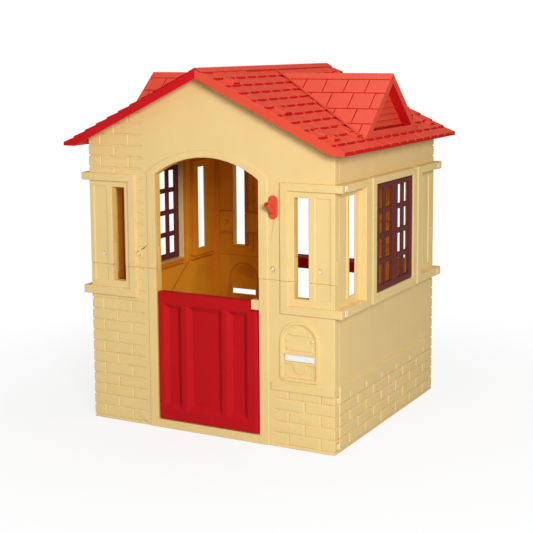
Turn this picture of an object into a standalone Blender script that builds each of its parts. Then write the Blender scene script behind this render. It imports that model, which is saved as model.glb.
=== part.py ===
"""Child's plastic playhouse: gable walls, side walls, shingled roof, door, window leaves.

Metres, +Z up. The origin is on the ground at the centre of the house, and the front wall
faces -Y. The rear wall is the front wall turned 180 degrees about Z, and the left side
wall is the right one turned 180 degrees.
"""
import math

import bmesh
import bpy
from mathutils import Matrix, Vector

# Walls
HOUSE_WIDTH = 0.900
HOUSE_DEPTH = 0.832
GABLE_THICK = 0.030
SIDE_THICK = 0.028
SKIN = 0.005
FRAME_WALL = 0.012  # above and below the windows, where the leaves' pins sit
GAP = 0.0004
HALF_WIDTH = HOUSE_WIDTH / 2
HALF_DEPTH = HOUSE_DEPTH / 2
SIDE_HALF_LENGTH = HALF_DEPTH - GABLE_THICK - GAP
EMBED = 0.001  # how far a raised detail sinks into the wall that it grows from

# Joint between the upper and lower gable mouldings
SEAM_Z = 0.531
LAP_TOP_Z = 0.605
LAP_SPLIT = GABLE_THICK / 2
TONGUE_BACK = 0.021
BOSS_RADIUS = 0.0095
LAP_SCREWS = ((-0.399, 0.566), (-0.256, 0.5775), (0.2405, 0.566), (0.399, 0.568))
RINGED_SCREWS = LAP_SCREWS[1:3]

# Brickwork
COURSE = 0.0368
FIRST_LINE_Z = 0.0089
MORTAR = 0.004
BRICK_PROUD = 0.004
GROOVE_DEPTH = 0.003
BRICK_LENGTH = 0.111
STRIP_WIDTH = 0.2095
PARITY_CHANGE = 15  # the upper moulding starts its bond one course out
LAST_COURSE = 29
PLINTH_COURSES = 4
SIDE_BRICK = 0.1255
CAP_TOP_Z = 0.211
CAP_JOINT = 0.020  # the cap's own joints rise this far from its lower edge

# Doorway
DOOR_HALF = 0.190
SPRING_Z = 0.839
ARCH_TOP_Z = 0.9013
SILL_Z = 0.028
TRIM_HALF = 0.2215
TRIM_SPRING_Z = 0.848
TRIM_TOP_Z = 0.924
TRIM_PROUD = 0.003

# Corner bays
BAND_LOW = (0.429, 0.456)
BAND_HIGH = (0.811, 0.836)
BAY_OUTER = 0.267
STILE = 0.0265
BAY_PROUD = 0.008
BAY_REACH = 0.027
SLOT_X = (0.312, 0.362)
SLOT_Z = (0.479, 0.791)
PANEL_X = (0.383, 0.433)
PANEL_Z = (0.477, 0.791)
PANEL_DEPTH = 0.003

# Mailbox relief on the gable wall
MAIL_X = 0.3305
MAIL_HALF = 0.067
MAIL_BOTTOM_Z = 0.2185
MAIL_CENTRE_Z = 0.342
MAIL_RING = 0.010
MAIL_CORNER = 0.013
MAIL_PROUD = 0.006
MAIL_SLAB_Z = (0.273, 0.309)
LETTER_HALF = 0.052
LETTER_Z = (0.281, 0.301)
THUMB_TAB = (0.0215, 0.265)  # radius, height of its centre
LEDGE_Z = (0.183, 0.2085)
LEDGE_START = 0.232

# Side wall bays and window
SIDE_SLOT_Y = (0.266, 0.310)
SIDE_PANEL_Y = (0.326, 0.370)
SIDE_STILE_Y = (0.201, 0.241)
FRAME_HALF = 0.186
WINDOW_HALF = 0.157
WINDOW_Z = (0.461, 0.813)

# Roof
SLOPE = 0.48
RIDGE_TOP_Z = 1.183
CAP_THICK = 0.005
CAP_REACH = 0.0215
DECK_THICK = 0.009
FASCIA_THICK = 0.006
FASCIA_BOTTOM_Z = 1.150
EAVE_REACH = 0.508
EAVE_BOTTOM_Z = 0.927
OVERHANG = 0.058
SHINGLE_COURSES = 11
SHINGLE_STEP = 0.0444
SHINGLE_NOSE = 0.005
SHINGLE_TAIL = 0.001
DECK_TOP_Z = RIDGE_TOP_Z - CAP_THICK
DECK_UNDER_Z = DECK_TOP_Z - DECK_THICK
ROOF_HALF_LENGTH = HALF_DEPTH + OVERHANG
SCREW_PAD = (0.072, 0.040, 0.006)

# Dormers
DORMER_FACE = 0.4635
DORMER_RIDGE_Z = 1.1576
DORMER_SLOPE = 0.8865
DORMER_RECESS_DEPTH = 0.036
DORMER_RECESS_BASE_Z = 0.981
DORMER_FLASHING = (0.237, 0.003)  # half-width at the face, thickness
DORMER_RECESS_APEX_Z = 1.1255
LOUVRE_PITCH = 0.020

# Door
DOOR_THICK = 0.028
DOOR_CLEAR = 0.004
DOOR_Z = (0.032, 0.458)
HINGE_X = 0.172
HINGE_Y = -HALF_DEPTH + 0.010
LUG_Z = (0.430, 0.462)
PIN_RADIUS = 0.004
PIN_CLEAR = 0.0005
DOOR_PANELS = ((-0.165, -0.097), (-0.076, 0.055), (0.073, 0.148))
DOOR_PANEL_Z = (0.070, 0.420)

# Window leaves
LEAF_THICK = 0.013
LEAF_BAR_SUNK = 0.004
LEAF_CLEAR = 0.003
LEAF_OUTER_X = HALF_WIDTH + BAY_REACH - 0.003
LEAF_HINGE_X = LEAF_OUTER_X - LEAF_THICK / 2
LEAF_HINGE_Y = WINDOW_HALF - LEAF_CLEAR - LEAF_THICK / 2
LEAF_PIN = 0.003

# Rear counter
COUNTER_Z = (0.412, 0.452)
COUNTER_Y = (HALF_DEPTH - 0.040, HALF_DEPTH + 0.038)
COUNTER_SCREW_X = 0.197

# Screws and flag holder
HEAD_THICK = 0.0036
FLAG_X = 0.2425
FLAG_Z = 0.758

CREAM = (0.84, 0.66, 0.38)
RED = (0.80, 0.05, 0.03)
DOOR_RED = (0.52, 0.005, 0.008)
BROWN = (0.13, 0.045, 0.035)
STEEL = (0.55, 0.55, 0.56)
PAINTED = (0.86, 0.72, 0.48)


# ---------------------------------------------------------------- mesh helpers

def clear_scene():
    for obj in list(bpy.data.objects):
        bpy.data.objects.remove(obj, do_unlink=True)


def material(name, colour, roughness, metallic=0.0):
    made = bpy.data.materials.new(name)
    made.use_nodes = True
    shader = made.node_tree.nodes["Principled BSDF"]
    shader.inputs["Base Color"].default_value = (*colour, 1.0)
    shader.inputs["Roughness"].default_value = roughness
    shader.inputs["Metallic"].default_value = metallic
    return made


def add_prism(bm, outline, low, high, axis):
    """Close a straight prism between two levels of an axis.

    The outline's pairs are (y, z) across X, (x, z) across Y and (x, y) across Z.
    """
    def place(point, level):
        if axis == "X":
            return (level, point[0], point[1])
        if axis == "Y":
            return (point[0], level, point[1])
        return (point[0], point[1], level)

    start = [bm.verts.new(place(point, low)) for point in outline]
    end = [bm.verts.new(place(point, high)) for point in outline]
    bm.faces.new(start)
    bm.faces.new(end)
    for here in range(len(outline)):
        there = (here + 1) % len(outline)
        bm.faces.new((start[here], start[there], end[there], end[here]))


def add_frustum(bm, low_rect, high_rect, low, high):
    """Close a block along Y whose (x0, x1, z0, z1) ends differ in size."""
    rings = []
    for (x0, x1, z0, z1), level in ((low_rect, low), (high_rect, high)):
        corners = ((x0, z0), (x1, z0), (x1, z1), (x0, z1))
        rings.append([bm.verts.new((x, level, z)) for x, z in corners])
    bm.faces.new(rings[0])
    bm.faces.new(rings[1])
    for here in range(4):
        there = (here + 1) % 4
        bm.faces.new((rings[0][here], rings[0][there], rings[1][there], rings[1][here]))


def add_rod(bm, start, end, radius, sides=12):
    start, end = Vector(start), Vector(end)
    along = end - start
    turn = along.to_track_quat("Z", "Y").to_matrix().to_4x4()
    centre = Matrix.Translation((start + end) / 2)
    bmesh.ops.create_cone(
        bm, cap_ends=True, segments=sides, radius1=radius, radius2=radius,
        depth=along.length, matrix=centre @ turn)


def rect(a0, a1, b0, b1):
    return [(a0, b0), (a1, b0), (a1, b1), (a0, b1)]


def arc(centre, radius, first, last, steps):
    """Points on an arc, by angle in degrees, both ends included."""
    points = []
    for i in range(steps + 1):
        angle = math.radians(first + (last - first) * i / steps)
        points.append((centre[0] + radius * math.cos(angle), centre[1] + radius * math.sin(angle)))
    return points


def segmental(half, spring_z, top_z, steps=14):
    """Arch points from the right spring to the left one."""
    rise = top_z - spring_z
    radius = (half * half + rise * rise) / (2 * rise)
    spread = math.degrees(math.asin(half / radius))
    return arc((0.0, top_z - radius), radius, 90 - spread, 90 + spread, steps)


def clip_above(outline, line_z):
    """Keep the part of an outline that is under z = line_z(x)."""
    kept = []
    for here, point in enumerate(outline):
        after = outline[(here + 1) % len(outline)]
        over = point[1] - line_z(point[0])
        over_after = after[1] - line_z(after[0])
        if over <= 0:
            kept.append(point)
        if (over < 0 < over_after) or (over_after < 0 < over):
            share = over / (over - over_after)
            kept.append(tuple(point[i] + share * (after[i] - point[i]) for i in (0, 1)))
    return kept


def to_object(bm, name):
    bmesh.ops.recalc_face_normals(bm, faces=bm.faces)
    mesh = bpy.data.meshes.new(name)
    bm.to_mesh(mesh)
    bm.free()
    obj = bpy.data.objects.new(name, mesh)
    bpy.context.scene.collection.objects.link(obj)
    return obj


def carve(name, base, steps):
    """Apply Boolean steps, given as (operation, bmesh), to a base bmesh; return the mesh."""
    target = to_object(base, name)
    tools = []
    for operation, bm in steps:
        tool = to_object(bm, name + "_tool")
        modifier = target.modifiers.new(operation.lower(), "BOOLEAN")
        modifier.operation = operation
        modifier.object = tool
        modifier.use_self = True
        tools.append(tool)
    graph = bpy.context.evaluated_depsgraph_get()
    mesh = bpy.data.meshes.new_from_object(target.evaluated_get(graph))
    mesh.name = name
    for obj in [target, *tools]:
        bpy.data.objects.remove(obj, do_unlink=True)
    return mesh


def show(name, mesh, finish, turned=False, origin=(0.0, 0.0, 0.0)):
    """Place a node; a turned node stands half a turn about Z from the modelled one."""
    if not mesh.materials:
        mesh.materials.append(finish)
    obj = bpy.data.objects.new(name, mesh)
    bpy.context.scene.collection.objects.link(obj)
    obj.location = Vector(origin)
    if turned:
        obj.rotation_euler = (0.0, 0.0, math.pi)
        obj.location = Vector((-origin[0], -origin[1], origin[2]))
    return obj


def moved(mesh, origin):
    """Shift a mesh so that the given world point becomes its object's origin."""
    mesh.transform(Matrix.Translation(-Vector(origin)))
    return mesh


def soften(mesh, degrees=35):
    mesh.shade_smooth()
    mesh.set_sharp_from_angle(angle=math.radians(degrees))
    return mesh


# ---------------------------------------------------------------- gable walls

def front(depth):
    """World Y of a depth behind the front wall's face."""
    return -HALF_DEPTH + depth


def gable_top_z(x):
    return DECK_UNDER_Z - GAP - SLOPE * abs(x)


def brick_joints(course):
    """Distances of the upright joints from the house corner."""
    two_joints = course % 2 == 0
    if course >= PARITY_CHANGE:
        two_joints = not two_joints
    if two_joints:
        return (0.048, 0.048 + BRICK_LENGTH)
    return (0.048 + BRICK_LENGTH / 2,)


def add_grooves(bm, side, z_low, z_high):
    """Mortar grooves of a front corner's brickwork; side is -1 on the left, +1 on the right."""
    corner, inner = side * HALF_WIDTH, side * (HALF_WIDTH - STRIP_WIDTH)
    outside, deep = front(-0.02), front(GROOVE_DEPTH)
    round_corner = [
        (corner + side * 0.02, outside), (inner, outside), (inner, deep),
        (corner - side * GROOVE_DEPTH, deep), (corner - side * GROOVE_DEPTH, front(GABLE_THICK + 0.01)),
        (corner + side * 0.02, front(GABLE_THICK + 0.01))]
    quoin = rect(*sorted((inner, side * (BAY_OUTER - EMBED))), outside, deep)
    for course in range(LAST_COURSE):
        z0 = FIRST_LINE_Z + course * COURSE
        z1 = z0 + COURSE
        beside_bay = BAND_LOW[0] < z0 < BAND_HIGH[1]
        if z_low < z0 - MORTAR and z0 + MORTAR < z_high:
            outline = quoin if beside_bay else round_corner
            add_prism(bm, outline, z0 - MORTAR / 2, z0 + MORTAR / 2, "Z")
        low, high = max(z0, z_low), min(z1, z_high)
        if z0 < BAND_LOW[0] < z1:
            high = min(high, BAND_LOW[0] - 0.0005)
        if z0 < BAND_HIGH[1] < z1:
            low = max(low, BAND_HIGH[1] + 0.0005)
        if high - low < 0.006 or BAND_LOW[0] < low < BAND_HIGH[1]:
            continue
        for joint in brick_joints(course):
            x = corner - side * joint
            add_prism(bm, rect(x - MORTAR / 2, x + MORTAR / 2, low, high), outside, deep, "Y")


def add_band(bm, side, z0, z1):
    """A bay's horizontal band, wrapped round the house corner."""
    inner, outer = side * BAY_OUTER, side * (HALF_WIDTH + BAY_REACH)
    wall = side * (HALF_WIDTH - EMBED)
    outline = [
        (inner, front(-BAY_PROUD)), (outer, front(-BAY_PROUD)), (outer, front(GABLE_THICK)),
        (wall, front(GABLE_THICK)), (wall, front(EMBED)), (inner, front(EMBED))]
    add_prism(bm, outline, z0, z1, "Z")


def add_stile(bm, side, z0, z1):
    inner, outer = sorted((side * BAY_OUTER, side * (BAY_OUTER + STILE)))
    add_prism(bm, rect(inner, outer, z0, z1), front(-BAY_PROUD), front(EMBED), "Y")


def both_sides(low, high):
    """The span and its mirror image about x = 0."""
    return ((low, high), (-high, -low))


def nub_notch(bm, z, x_face):
    """Notches at the gable wall's two rear corners for the side wall's locking tab."""
    for side in (1, -1):
        x0, x1 = sorted((side * (x_face - 0.006), side * (x_face + 0.004)))
        add_prism(bm, rect(x0, x1, z - 0.011, z + 0.011), front(0.0155), front(0.034), "Y")


WALL_NUBS = ((0.022, HALF_WIDTH), (0.168, HALF_WIDTH), (0.4425, HALF_WIDTH + BAY_REACH),
             (0.8235, HALF_WIDTH + BAY_REACH))


def mail_outline(shrink):
    half, low = MAIL_HALF - shrink, MAIL_BOTTOM_Z + shrink
    corner = max(MAIL_CORNER - shrink, 0.002)
    points = arc((MAIL_X - half + corner, low + corner), corner, 180, 270, 4)
    points += arc((MAIL_X + half - corner, low + corner), corner, 270, 360, 4)
    return points + arc((MAIL_X, MAIL_CENTRE_Z), half, 0, 180, 16)


def add_mailbox(bm):
    """Ribs, bosses and the letter slot's slab with its thumb tab, inside the arched ring."""
    proud, sunk = front(-0.0035), front(EMBED)
    for half, z0, z1 in ((0.036, 0.363, 0.376), (0.045, 0.316, 0.329)):
        add_prism(bm, rect(MAIL_X - half, MAIL_X + half, z0, z1), proud, sunk, "Y")
    for x in (MAIL_X - 0.043, MAIL_X + 0.043):
        add_prism(bm, arc((x, 0.348), 0.005, 0, 315, 7), proud, sunk, "Y")
    inner = MAIL_HALF - MAIL_RING + EMBED
    low, high = MAIL_SLAB_Z
    outline = [(MAIL_X + inner, low), (MAIL_X + inner, high), (MAIL_X - inner, high), (MAIL_X - inner, low)]
    outline.append((MAIL_X - THUMB_TAB[0], low))
    outline += arc((MAIL_X, THUMB_TAB[1]), THUMB_TAB[0], -180, 0, 12)
    outline.append((MAIL_X + THUMB_TAB[0], low))
    add_prism(bm, outline, proud, sunk, "Y")


def bay_channels(bm, z_low, z_high):
    """Channels behind the bay frames, which keep the frames as thin as the skin."""
    deep = front(-BAY_PROUD + SKIN)
    for side in (1, -1):
        for band in (BAND_LOW, BAND_HIGH):
            z0, z1 = band[0] + SKIN, band[1] - SKIN
            if z0 > z_low and z1 < z_high:
                x0, x1 = sorted((side * (BAY_OUTER + SKIN), side * (HALF_WIDTH - SKIN)))
                add_prism(bm, rect(x0, x1, z0, z1), deep, front(SKIN + EMBED), "Y")
        x0, x1 = sorted((side * (BAY_OUTER + SKIN), side * (BAY_OUTER + STILE - SKIN)))
        z0, z1 = max(z_low, BAND_LOW[0] + SKIN + 0.002), min(z_high, BAND_HIGH[1] - SKIN - 0.002)
        add_prism(bm, rect(x0, x1, z0, z1), deep, front(SKIN + EMBED), "Y")


def lower_gable():
    inside = front(GABLE_THICK + 0.01)
    base = bmesh.new()
    outline = [
        (-HALF_WIDTH, 0.0), (HALF_WIDTH, 0.0), (HALF_WIDTH, SEAM_Z), (DOOR_HALF, SEAM_Z),
        (DOOR_HALF, SILL_Z), (-DOOR_HALF, SILL_Z), (-DOOR_HALF, SEAM_Z), (-HALF_WIDTH, SEAM_Z)]
    add_prism(base, outline, front(0.0), front(GABLE_THICK), "Y")

    hollow = bmesh.new()
    for x0, x1 in both_sides(DOOR_HALF + SKIN, HALF_WIDTH - SKIN):
        add_prism(hollow, rect(x0, x1, SKIN, SEAM_Z - SKIN), front(SKIN), inside, "Y")
    outline = rect(-DOOR_HALF + 0.02, DOOR_HALF - 0.03, SKIN, SILL_Z - SKIN)
    add_prism(hollow, outline, front(SKIN), inside, "Y")

    relief = bmesh.new()
    for side in (1, -1):
        add_band(relief, side, *BAND_LOW)
    outline = rect(LEDGE_START, HALF_WIDTH, *LEDGE_Z)
    add_prism(relief, outline, front(-0.005), front(EMBED), "Y")
    add_prism(relief, mail_outline(0.0), front(-MAIL_PROUD), front(EMBED), "Y")
    outline = [
        (-TRIM_HALF, 0.0), (TRIM_HALF, 0.0), (TRIM_HALF, SEAM_Z), (DOOR_HALF, SEAM_Z),
        (DOOR_HALF, SILL_Z), (-DOOR_HALF, SILL_Z), (-DOOR_HALF, SEAM_Z), (-TRIM_HALF, SEAM_Z)]
    add_prism(relief, outline, front(-TRIM_PROUD), front(EMBED), "Y")

    frames = bmesh.new()
    for side in (1, -1):
        add_stile(frames, side, BAND_LOW[1] - 0.002, SEAM_Z)
    channels = bmesh.new()
    bay_channels(channels, 0.0, SEAM_Z - SKIN)
    tongue = bmesh.new()
    for x0, x1 in both_sides(DOOR_HALF, HALF_WIDTH):
        back = front(GABLE_THICK)
        outline = [
            (x0, front(LAP_SPLIT + GAP)), (x1, front(LAP_SPLIT + GAP)), (x1, back), (x1 - SKIN, back),
            (x1 - SKIN, front(TONGUE_BACK)), (x0 + SKIN, front(TONGUE_BACK)), (x0 + SKIN, back), (x0, back)]
        add_prism(tongue, outline, SEAM_Z - 0.006, LAP_TOP_Z, "Z")
    tubes = bmesh.new()
    for x0, x1 in both_sides(SLOT_X[0] - SKIN, SLOT_X[1] + SKIN):
        outline = rect(x0, x1, SLOT_Z[0] - SKIN, LAP_TOP_Z)
        add_prism(tubes, outline, front(LAP_SPLIT + GAP), front(GABLE_THICK - 0.0006), "Y")
        outline = rect(x0, x1, SLOT_Z[0] - SKIN, SEAM_Z - 0.004)
        add_prism(tubes, outline, front(SKIN - EMBED), front(GABLE_THICK - 0.0006), "Y")
    outline = rect(HINGE_X - 0.012, DOOR_HALF + EMBED, *LUG_Z)
    add_prism(tubes, outline, front(0.0), front(0.024), "Y")
    outline = rect(HINGE_X - 0.012, HINGE_X + 0.0125, SKIN - EMBED, SILL_Z - SKIN + EMBED)
    add_prism(tubes, outline, front(SKIN - EMBED), front(0.024), "Y")
    for x, z in LAP_SCREWS:
        add_rod(tubes, (x, front(TONGUE_BACK - 0.002), z), (x, front(0.0285), z), BOSS_RADIUS)

    floor = bmesh.new()
    add_prism(floor, mail_outline(MAIL_RING), front(-MAIL_PROUD - 0.002), front(0.0), "Y")
    groove = bmesh.new()
    add_prism(groove, mail_outline(0.002), front(0.002), front(SKIN + 0.0005), "Y")
    field = bmesh.new()
    add_prism(field, mail_outline(MAIL_RING - 0.002), front(EMBED), front(SKIN), "Y")

    insert = bmesh.new()
    add_mailbox(insert)

    openings = bmesh.new()
    for x0, x1 in both_sides(*SLOT_X):
        outline = rect(x0, x1, SLOT_Z[0], LAP_TOP_Z + 0.01)
        add_prism(openings, outline, front(-0.02), front(0.05), "Y")
    for x0, x1 in both_sides(*PANEL_X):
        outline = rect(x0, x1, PANEL_Z[0], SEAM_Z + 0.01)
        add_prism(openings, outline, front(-0.02), front(PANEL_DEPTH), "Y")
    outline = rect(MAIL_X - LETTER_HALF, MAIL_X + LETTER_HALF, *LETTER_Z)
    add_prism(openings, outline, front(-0.02), front(0.05), "Y")
    hole = PIN_RADIUS + PIN_CLEAR
    top = (HINGE_X, HINGE_Y, LUG_Z[1] - 0.004)
    add_rod(openings, (HINGE_X, HINGE_Y, LUG_Z[0] - 0.01), top, hole)
    add_rod(openings, (HINGE_X, HINGE_Y, 0.010), (HINGE_X, HINGE_Y, SILL_Z + 0.01), hole)
    for x, z in LAP_SCREWS:
        add_rod(openings, (x, front(0.010), z), (x, front(0.027), z), 0.0032)
    for z, x_face in WALL_NUBS[:3]:
        nub_notch(openings, z, x_face)
    grooves = bmesh.new()
    add_grooves(grooves, -1, 0.0, SEAM_Z)
    add_grooves(grooves, 1, 0.0, LEDGE_Z[0] - EMBED)
    return carve("gable_lower", base, [
        ("DIFFERENCE", hollow), ("UNION", relief), ("UNION", frames), ("DIFFERENCE", channels),
        ("DIFFERENCE", groove), ("UNION", field), ("UNION", tongue), ("UNION", tubes),
        ("DIFFERENCE", floor), ("UNION", insert), ("DIFFERENCE", openings), ("DIFFERENCE", grooves)])


def upper_gable():
    seam = SEAM_Z + GAP
    lap = LAP_TOP_Z + GAP
    arch = segmental(DOOR_HALF, SPRING_Z, ARCH_TOP_Z)
    base = bmesh.new()
    outline = [(DOOR_HALF, lap), (HALF_WIDTH, lap), (HALF_WIDTH, gable_top_z(HALF_WIDTH)),
               (0.0, gable_top_z(0.0)), (-HALF_WIDTH, gable_top_z(HALF_WIDTH)),
               (-HALF_WIDTH, lap), (-DOOR_HALF, lap), *reversed(arch)]
    add_prism(base, outline, front(0.0), front(GABLE_THICK), "Y")

    lip = bmesh.new()
    for x0, x1 in both_sides(DOOR_HALF, HALF_WIDTH):
        add_prism(lip, rect(x0, x1, seam, lap + 0.004), front(0.0), front(LAP_SPLIT), "Y")

    hollow = bmesh.new()
    inner_arch = segmental(DOOR_HALF + SKIN, SPRING_Z, ARCH_TOP_Z + SKIN)
    side_x = HALF_WIDTH - SKIN
    top = 0.008
    outline = [
        (DOOR_HALF + SKIN, lap + SKIN), (side_x, lap + SKIN), (side_x, gable_top_z(side_x) - top),
        (0.0, gable_top_z(0.0) - top), (-side_x, gable_top_z(side_x) - top),
        (-side_x, lap + SKIN), (-DOOR_HALF - SKIN, lap + SKIN), *reversed(inner_arch)]
    add_prism(hollow, outline, front(SKIN), front(GABLE_THICK + 0.01), "Y")

    relief = bmesh.new()
    for x, z in RINGED_SCREWS:
        add_rod(relief, (x, front(-0.0026), z), (x, front(EMBED), z), 0.0105, 16)
    for side in (1, -1):
        add_band(relief, side, *BAND_HIGH)
    outer_arch = segmental(TRIM_HALF, TRIM_SPRING_Z, TRIM_TOP_Z)
    outline = [(DOOR_HALF, seam), (TRIM_HALF, seam), *outer_arch, (-TRIM_HALF, seam),
               (-DOOR_HALF, seam), *reversed(arch)]
    add_prism(relief, outline, front(-TRIM_PROUD), front(EMBED), "Y")

    frames = bmesh.new()
    for side in (1, -1):
        add_stile(frames, side, seam, BAND_HIGH[0] + 0.002)
    channels = bmesh.new()
    bay_channels(channels, lap + SKIN, 2.0)
    tubes = bmesh.new()
    for x0, x1 in both_sides(SLOT_X[0] - SKIN, SLOT_X[1] + SKIN):
        outline = rect(x0, x1, lap + 0.002, SLOT_Z[1] + SKIN)
        add_prism(tubes, outline, front(SKIN - EMBED), front(GABLE_THICK - 0.0006), "Y")
    for z in (FLAG_Z - 0.020, FLAG_Z + 0.020):
        add_rod(tubes, (FLAG_X, front(EMBED), z), (FLAG_X, front(0.014), z), 0.0085, 10)
    for x in (-0.436, -0.278, -0.095, 0.095, 0.278, 0.436):
        z = gable_top_z(x)
        outline = [
            (x - 0.007, z - 0.034), (x + 0.007, z - 0.034), (x + 0.007, gable_top_z(x + 0.007) - EMBED),
            (x - 0.007, gable_top_z(x - 0.007) - EMBED)]
        add_prism(tubes, outline, front(SKIN - EMBED), front(0.024), "Y")

    openings = bmesh.new()
    for x0, x1 in both_sides(*SLOT_X):
        add_prism(openings, rect(x0, x1, seam - 0.01, SLOT_Z[1]), front(-0.02), front(0.05), "Y")
    for x0, x1 in both_sides(*PANEL_X):
        outline = rect(x0, x1, seam - 0.01, PANEL_Z[1])
        add_prism(openings, outline, front(-0.02), front(PANEL_DEPTH), "Y")
    nub_notch(openings, *WALL_NUBS[3])
    for z in (FLAG_Z - 0.020, FLAG_Z + 0.020):
        add_rod(openings, (FLAG_X, front(-0.02), z), (FLAG_X, front(0.0125), z), 0.0045, 10)
    for x in (-0.436, -0.278, -0.095, 0.095, 0.278, 0.436):
        z = gable_top_z(x)
        add_rod(openings, (x, front(0.015), z - 0.030), (x, front(0.015), z + 0.02), 0.0032, 8)

    heads = bmesh.new()
    for x, z in LAP_SCREWS:
        add_rod(heads, (x, front(-0.02), z), (x, front(0.006), z), 0.0068)
    shanks = bmesh.new()
    for x, z in LAP_SCREWS:
        add_rod(shanks, (x, front(0.004), z), (x, front(0.02), z), 0.0032)
    grooves = bmesh.new()
    add_grooves(grooves, -1, seam, RIDGE_TOP_Z)
    return carve("gable_upper", base, [
        ("UNION", lip), ("DIFFERENCE", hollow), ("UNION", relief), ("UNION", frames),
        ("DIFFERENCE", channels), ("UNION", tubes), ("DIFFERENCE", openings),
        ("DIFFERENCE", heads), ("DIFFERENCE", shanks), ("DIFFERENCE", grooves)])


# ---------------------------------------------------------------- side walls

def side_wall():
    """The right side wall, modelled in place."""
    inner_x, outer_x = HALF_WIDTH - SIDE_THICK, HALF_WIDTH
    face_x = HALF_WIDTH + BAY_REACH
    end = SIDE_HALF_LENGTH
    base = bmesh.new()
    outline = [(inner_x, 0.0), (outer_x, 0.0), (outer_x, gable_top_z(outer_x)),
               (inner_x, gable_top_z(inner_x))]
    add_prism(base, outline, -end, end, "Y")

    inside = inner_x - 0.01
    hollow = bmesh.new()
    add_prism(hollow, rect(-end + SKIN, end - SKIN, SKIN, 0.935), inside, outer_x - SKIN, "X")

    relief = bmesh.new()
    sunk = outer_x - EMBED
    for side in (1, -1):
        outline = [(end, BAND_LOW[0]), (SIDE_STILE_Y[0], BAND_LOW[0]), (SIDE_STILE_Y[0], BAND_HIGH[1]),
                   (end, BAND_HIGH[1]), (end, BAND_HIGH[0]), (SIDE_STILE_Y[1], BAND_HIGH[0]),
                   (SIDE_STILE_Y[1], BAND_LOW[1]), (end, BAND_LOW[1])]
        add_prism(relief, [(side * y, z) for y, z in outline], sunk, face_x, "X")
    outline = rect(-FRAME_HALF, FRAME_HALF, BAND_LOW[0], BAND_HIGH[1])
    add_prism(relief, outline, sunk, face_x, "X")
    brick_x = outer_x + BRICK_PROUD
    for course in range(PLINTH_COURSES):
        shift = 0.5 if course % 2 == 0 else 0.0
        joints = [(i + shift) * SIDE_BRICK for i in range(-3, 4)]
        edges = [-end] + [y for y in joints if abs(y) < end - 0.02] + [end]
        z0 = FIRST_LINE_Z + course * COURSE + MORTAR / 2
        for first, last in zip(edges, edges[1:]):
            y0 = first + (MORTAR / 2 if first > -end else 0.0)
            y1 = last - (MORTAR / 2 if last < end else 0.0)
            add_prism(relief, rect(y0, y1, z0, z0 + COURSE - MORTAR), sunk, brick_x, "X")
    cap_z = FIRST_LINE_Z + PLINTH_COURSES * COURSE + MORTAR / 2
    add_prism(relief, rect(-end, end, cap_z, CAP_TOP_Z), sunk, outer_x + 0.0055, "X")

    channels = bmesh.new()
    low, high = BAND_LOW[0] + SKIN, BAND_HIGH[1] - SKIN
    cells = [(-FRAME_HALF + SKIN, FRAME_HALF - SKIN, low, WINDOW_Z[0] - FRAME_WALL),
             (-FRAME_HALF + SKIN, FRAME_HALF - SKIN, WINDOW_Z[1] + FRAME_WALL, high)]
    for y0, y1 in both_sides(WINDOW_HALF + SKIN, FRAME_HALF - SKIN):
        cells.append((y0, y1, low + 0.001, high - 0.001))
    for y0, y1 in both_sides(SIDE_STILE_Y[0] + SKIN, end - SKIN):
        cells.append((y0, y1, low, BAND_LOW[1] - SKIN))
        cells.append((y0, y1, BAND_HIGH[0] + SKIN, high))
    for y0, y1 in both_sides(SIDE_STILE_Y[0] + SKIN + 0.001, SIDE_STILE_Y[1] - SKIN):
        cells.append((y0, y1, low + 0.001, high - 0.001))
    for cell in cells:
        add_prism(channels, rect(*cell), outer_x - SKIN - EMBED, face_x - SKIN, "X")
    tubes = bmesh.new()
    within = outer_x - SKIN + EMBED
    for y in (0.236, -0.236):
        add_prism(tubes, rect(y - 0.007, y + 0.007, 0.925, 0.940), inner_x + 0.006, within, "X")

    openings = bmesh.new()
    outline = rect(-WINDOW_HALF, WINDOW_HALF, *WINDOW_Z)
    add_prism(openings, outline, inner_x - 0.01, face_x + 0.01, "X")
    for y0, y1 in both_sides(*SIDE_SLOT_Y):
        add_prism(openings, rect(y0, y1, *SLOT_Z), inner_x - 0.01, outer_x + 0.01, "X")
    for y0, y1 in both_sides(*SIDE_PANEL_Y):
        add_prism(openings, rect(y0, y1, *PANEL_Z), outer_x - PANEL_DEPTH, outer_x + 0.01, "X")
    for i in range(-3, 3):
        y = (i + 0.5) * SIDE_BRICK
        joint = rect(y - MORTAR / 2, y + MORTAR / 2, cap_z - 0.001, cap_z + CAP_JOINT)
        add_prism(openings, joint, outer_x + 0.0015, outer_x + 0.01, "X")

    sockets = bmesh.new()
    for y in (LEAF_HINGE_Y, -LEAF_HINGE_Y):
        low, high = WINDOW_Z[0] - 0.010, WINDOW_Z[1] + 0.010
        add_rod(sockets, (LEAF_HINGE_X, y, low), (LEAF_HINGE_X, y, high), LEAF_PIN + PIN_CLEAR)
    for y in (0.236, -0.236):
        add_rod(sockets, (0.436, y, 0.925), (0.436, y, 0.98), 0.0032, 8)

    tabs = bmesh.new()
    for z, x_face in WALL_NUBS:
        for side in (1, -1):
            y0, y1 = sorted((side * (end + 0.014), side * (end - 0.002)))
            add_prism(tabs, rect(y0, y1, z - 0.0095, z + 0.0095), x_face - 0.0055, x_face + 0.001, "X")
    return carve("side_wall", base, [
        ("DIFFERENCE", hollow), ("UNION", relief), ("DIFFERENCE", channels), ("UNION", tubes),
        ("DIFFERENCE", openings), ("DIFFERENCE", sockets), ("UNION", tabs)])


# ---------------------------------------------------------------- roof

def deck_z(reach):
    return DECK_TOP_Z - SLOPE * reach


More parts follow.
